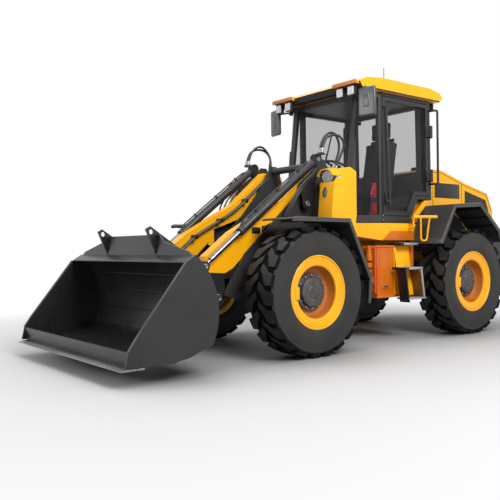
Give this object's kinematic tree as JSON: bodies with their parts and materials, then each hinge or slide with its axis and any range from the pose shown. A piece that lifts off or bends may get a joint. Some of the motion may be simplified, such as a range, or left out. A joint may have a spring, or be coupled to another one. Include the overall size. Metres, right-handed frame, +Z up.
{
  "type": "wheel loader",
  "caption": "Articulated wheel loader with parallel-lift arms, tilting bucket, glazed cab with door, hinged hood, ladder and rear counterweight",
  "frame": {"origin": "on the ground below the middle of the machine's length and width", "axes": "+Z up; the machine faces -Y, its bucket at -Y and its hood at +Y; its left side with the door and ladder is +X"},
  "size_m": [2.314, 6.166, 3.265],
  "materials": {
    "yellow_paint": "semi_gloss",
    "dark_paint": "satin",
    "bucket_paint": "satin",
    "cutting_steel": "satin",
    "rod_chrome": "polished",
    "pin_steel": "satin",
    "tyre_rubber": "matt",
    "black_plastic": "matt",
    "lamp_lens": "polished",
    "red_lens": "gloss",
    "red_paint": "gloss",
    "tinted_glass": "polished",
    "mirror_housing": "matt",
    "seat_cloth": "matt",
    "engine_iron": "rough"
  },
  "bodies": {
    "rear_frame": {"rear_chassis": "dark_paint", "rear_axle": "dark_paint", "cab_base": "yellow_paint", "cab_frame": "dark_paint", "cab_glass": "tinted_glass", "cab_roof": "yellow_paint", "work_lamps": "lamp_lens", "handrails": "black_plastic", "mirrors": "mirror_housing", "seat": "seat_cloth", "console": "black_plastic", "fire_extinguisher": "red_paint", "steps": "yellow_paint", "left_tank": "yellow_paint", "right_tank": "yellow_paint", "rear_mudguards": "black_plastic", "engine_block": "engine_iron", "counterweight": "dark_paint", "tail_lamps": "red_lens", "antenna": "black_plastic"},
    "front_frame": {"front_chassis": "dark_paint", "front_axle": "dark_paint", "front_mudguards": "black_plastic", "lamp_posts": "yellow_paint", "headlamps": "lamp_lens"},
    "arms": {"lift_arms": "yellow_paint", "arm_noses": "dark_paint"},
    "level_pins": {"hinge_pins": "pin_steel"},
    "levers": {"tilt_levers": "dark_paint"},
    "tilt_barrel": {"tilt_barrels": "dark_paint"},
    "tilt_rod": {"tilt_rods": "rod_chrome"},
    "lift_barrel": {"lift_barrels": "dark_paint"},
    "lift_rod": {"lift_rods": "rod_chrome"},
    "bucket": {"bucket_shell": "bucket_paint", "bucket_edge": "cutting_steel", "bucket_carrier": "dark_paint"},
    "steer_barrel_l": {"steer_barrel_left": "dark_paint"},
    "steer_rod_l": {"steer_rod_left": "rod_chrome"},
    "steer_barrel_r": {"steer_barrel_right": "dark_paint"},
    "steer_rod_r": {"steer_rod_right": "rod_chrome"},
    "door": {"cab_door": "dark_paint", "door_glass": "tinted_glass"},
    "hood_lid": {"hood": "yellow_paint", "hood_grilles": "black_plastic"},
    "wheel_front_left": {"front_left_tyre": "tyre_rubber", "front_left_rim": "yellow_paint"},
    "wheel_front_right": {"front_right_tyre": "tyre_rubber", "front_right_rim": "yellow_paint"},
    "wheel_rear_left": {"rear_left_tyre": "tyre_rubber", "rear_left_rim": "yellow_paint"},
    "wheel_rear_right": {"rear_right_tyre": "tyre_rubber", "rear_right_rim": "yellow_paint"}
  },
  "joints": [
    {"name": "steering", "type": "hinge", "parent": "rear_frame", "child": "front_frame", "pos_m": [0, 0.388, 0.75], "axis": [0, 0, 1], "range_deg": [-38, 38]},
    {"name": "arms", "type": "hinge", "parent": "front_frame", "child": "arms", "pos_m": [0, -0.257, 1.86], "axis": [-1, 0, 0], "range_deg": [-2.5, 80]},
    {"name": "level_pins", "type": "hinge", "parent": "arms", "child": "level_pins", "pos_m": [0, -1.697, 0.596], "axis": [-1, 0, 0], "range_deg": [-80.5, 3]},
    {"name": "bucket", "type": "hinge", "parent": "level_pins", "child": "bucket", "pos_m": [0, -1.697, 0.596], "axis": [1, 0, 0], "range_deg": [-45.1, 50.1]},
    {"name": "levers", "type": "hinge", "parent": "front_frame", "child": "levers", "pos_m": [0, -0.597, 1.54], "axis": [-1, 0, 0], "range_deg": [-25.7, 1.29]},
    {"name": "tilt_barrel", "type": "hinge", "parent": "levers", "child": "tilt_barrel", "pos_m": [0, -0.431, 2.032], "axis": [-1, 0, 0], "range_deg": [-3.86, 108.02]},
    {"name": "tilt_rod", "type": "slide", "parent": "tilt_barrel", "child": "tilt_rod", "axis": [0, -0.7971, -0.6039], "range_m": [-0.2654, 0.2949]},
    {"name": "lift_barrel", "type": "hinge", "parent": "front_frame", "child": "lift_barrel", "pos_m": [0, -0.277, 1.24], "axis": [-1, 0, 0], "range_deg": [-2.52, 65.22]},
    {"name": "lift_rod", "type": "slide", "parent": "lift_barrel", "child": "lift_rod", "axis": [0, -0.9962, -0.0866], "range_m": [-0.0247, 0.7295]},
    {"name": "steer_barrel_l", "type": "hinge", "parent": "rear_frame", "child": "steer_barrel_l", "pos_m": [0.33, 0.883, 0.7], "axis": [0, 0, 1], "range_deg": [-16.08, 16.08]},
    {"name": "steer_rod_l", "type": "slide", "parent": "steer_barrel_l", "child": "steer_rod_l", "axis": [-0.0345, -0.9994, 0], "range_m": [-0.2056, 0.2056]},
    {"name": "steer_barrel_r", "type": "hinge", "parent": "rear_frame", "child": "steer_barrel_r", "pos_m": [-0.33, 0.883, 0.7], "axis": [0, 0, 1], "range_deg": [-16.08, 16.08]},
    {"name": "steer_rod_r", "type": "slide", "parent": "steer_barrel_r", "child": "steer_rod_r", "axis": [0.0345, -0.9994, 0], "range_m": [-0.2056, 0.2056]},
    {"name": "wheel_front_left", "type": "hinge", "parent": "front_frame", "child": "wheel_front_left", "pos_m": [0.902, -0.917, 0.638], "axis": [1, 0, 0], "continuous": true},
    {"name": "wheel_front_right", "type": "hinge", "parent": "front_frame", "child": "wheel_front_right", "pos_m": [-0.902, -0.917, 0.638], "axis": [1, 0, 0], "continuous": true},
    {"name": "wheel_rear_left", "type": "hinge", "parent": "rear_frame", "child": "wheel_rear_left", "pos_m": [0.902, 1.693, 0.638], "axis": [1, 0, 0], "continuous": true},
    {"name": "wheel_rear_right", "type": "hinge", "parent": "rear_frame", "child": "wheel_rear_right", "pos_m": [-0.902, 1.693, 0.638], "axis": [1, 0, 0], "continuous": true},
    {"name": "door", "type": "hinge", "parent": "rear_frame", "child": "door", "pos_m": [0.712, 1.373, 2.2], "axis": [0, 0, 1], "range_deg": [0, 65]},
    {"name": "hood", "type": "hinge", "parent": "rear_frame", "child": "hood_lid", "pos_m": [0, 2.913, 1.33], "axis": [-1, 0, 0], "range_deg": [0, 45]}
  ],
  "couplings": [
    {"joint": "level_pins", "follows": "arms", "ratio": -1},
    {"joint": "levers", "follows": "arms", "ratio": -0.315},
    {"joint": "tilt_barrel", "follows": "arms", "ratio": 1.344},
    {"joint": "bucket", "follows": "tilt_rod", "rad_per_m": 2.9586},
    {"joint": "lift_barrel", "follows": "arms", "ratio": 0.809},
    {"joint": "lift_rod", "follows": "arms", "m_per_rad": 0.521},
    {"joint": "steer_barrel_l", "follows": "steering", "ratio": 0.41},
    {"joint": "steer_barrel_r", "follows": "steering", "ratio": 0.41},
    {"joint": "steer_rod_l", "follows": "steering", "m_per_rad": -0.307},
    {"joint": "steer_rod_r", "follows": "steering", "m_per_rad": 0.307}
  ]
}
